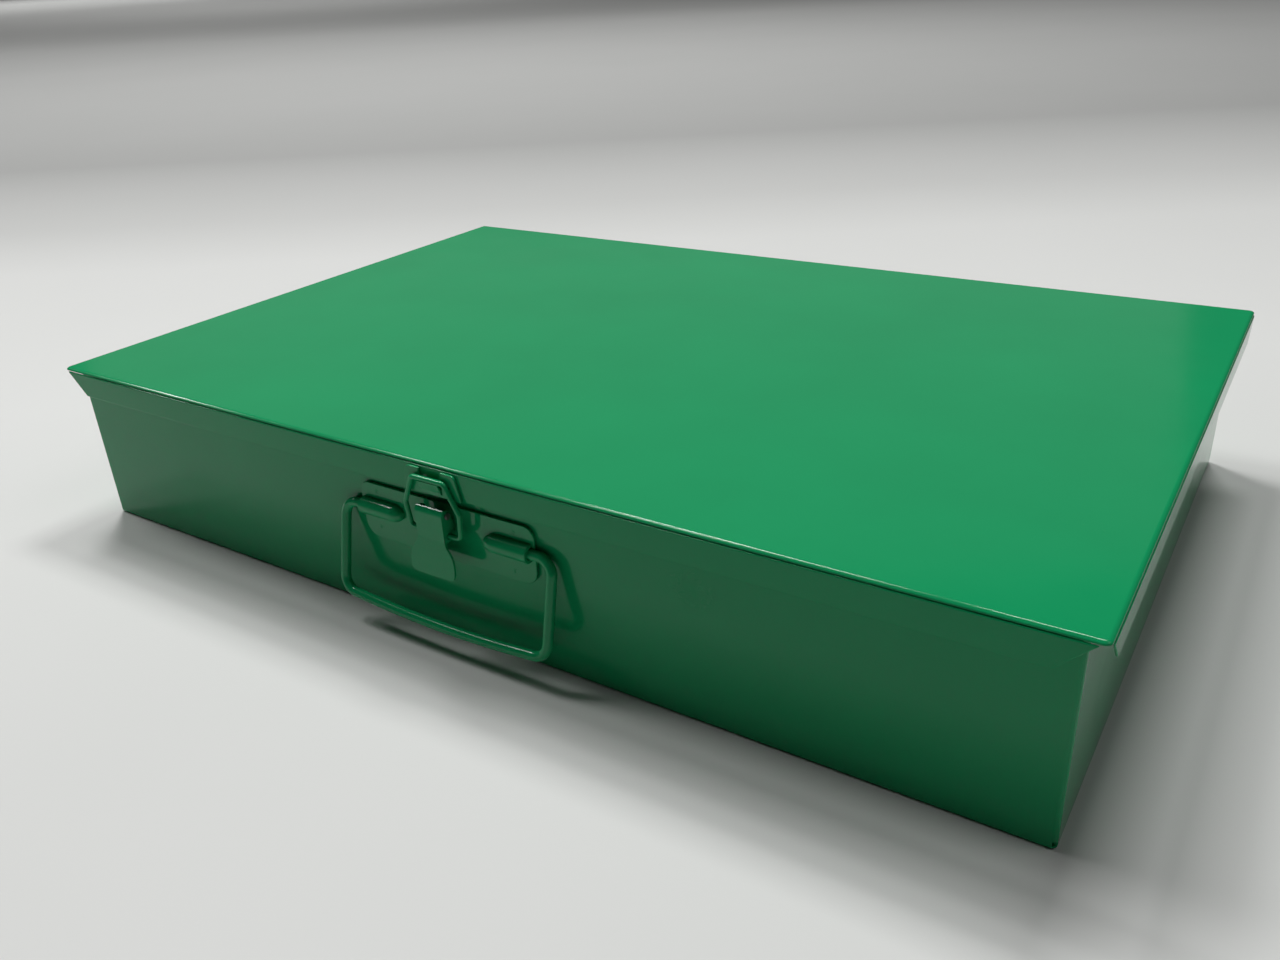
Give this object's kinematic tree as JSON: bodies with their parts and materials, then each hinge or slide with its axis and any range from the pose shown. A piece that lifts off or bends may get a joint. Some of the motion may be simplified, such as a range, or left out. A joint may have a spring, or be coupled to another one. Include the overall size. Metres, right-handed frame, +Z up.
{
  "type": "compartment storage case",
  "caption": "Low folded-steel case with a flat hinged lid, wire bail handle, draw catch and scoop-bottomed trays split by cross dividers.",
  "frame": {"origin": "centre of the case's underside, on the surface it stands on", "axes": "+Z up, +X along the long side, the handle and the catch face -Y, the hinge is at +Y"},
  "size_m": [0.4572, 0.308, 0.0755],
  "materials": {
    "lid_paint": "glossy green powder coat, lightly textured",
    "case_paint": "glossy green powder coat, lightly textured",
    "fittings_paint": "glossy green powder coat over pressed steel and wire",
    "tray_paint": "satin green powder coat",
    "plated_steel": "bright zinc-plated pin"
  },
  "bodies": {
    "case": {"case_shell": "case_paint", "hinge_lower_leaf": "case_paint", "hinge_pin": "plated_steel", "handle_plate": "fittings_paint", "catch_pin": "plated_steel", "tray_1": "tray_paint", "tray_2": "tray_paint", "tray_3": "tray_paint", "tray_4": "tray_paint", "tray_1_divider_1": "tray_paint", "tray_1_divider_2": "tray_paint", "tray_1_divider_3": "tray_paint", "tray_1_divider_4": "tray_paint", "tray_1_divider_5": "tray_paint", "tray_2_divider_1": "tray_paint", "tray_2_divider_2": "tray_paint", "tray_2_divider_3": "tray_paint", "tray_2_divider_4": "tray_paint", "tray_2_divider_5": "tray_paint", "tray_3_divider_1": "tray_paint", "tray_3_divider_2": "tray_paint", "tray_3_divider_3": "tray_paint", "tray_3_divider_4": "tray_paint", "tray_3_divider_5": "tray_paint", "tray_4_divider_1": "tray_paint", "tray_4_divider_2": "tray_paint", "tray_4_divider_3": "tray_paint", "tray_4_divider_4": "tray_paint", "tray_4_divider_5": "tray_paint"},
    "lid": {"lid": "lid_paint", "hinge_upper_leaf": "case_paint", "lid_keeper": "fittings_paint"},
    "bail": {"bail_handle": "fittings_paint"},
    "lever": {"catch_lever": "fittings_paint"},
    "loop": {"catch_loop": "fittings_paint"}
  },
  "joints": [
    {"name": "lid_hinge", "type": "hinge", "parent": "case", "child": "lid", "pos_m": [0, 0.1476, 0.0612], "axis": [-1, 0, 0], "range_deg": [0, 150]},
    {"name": "bail_pivot", "type": "hinge", "parent": "case", "child": "bail", "pos_m": [0, -0.1477, 0.049], "axis": [-1, 0, 0], "range_deg": [-12.5, 147]},
    {"name": "lever_pivot", "type": "hinge", "parent": "case", "child": "lever", "pos_m": [0, -0.1515, 0.0572], "axis": [-1, 0, 0], "range_deg": [0, 112]},
    {"name": "loop_pivot", "type": "hinge", "parent": "lever", "child": "loop", "pos_m": [0, -0.1513, 0.049], "axis": [-1, 0, 0], "range_deg": [-141, 0]}
  ],
  "couplings": [
    {"joint": "loop_pivot", "follows": "lever_pivot", "ratio": -1.25}
  ]
}
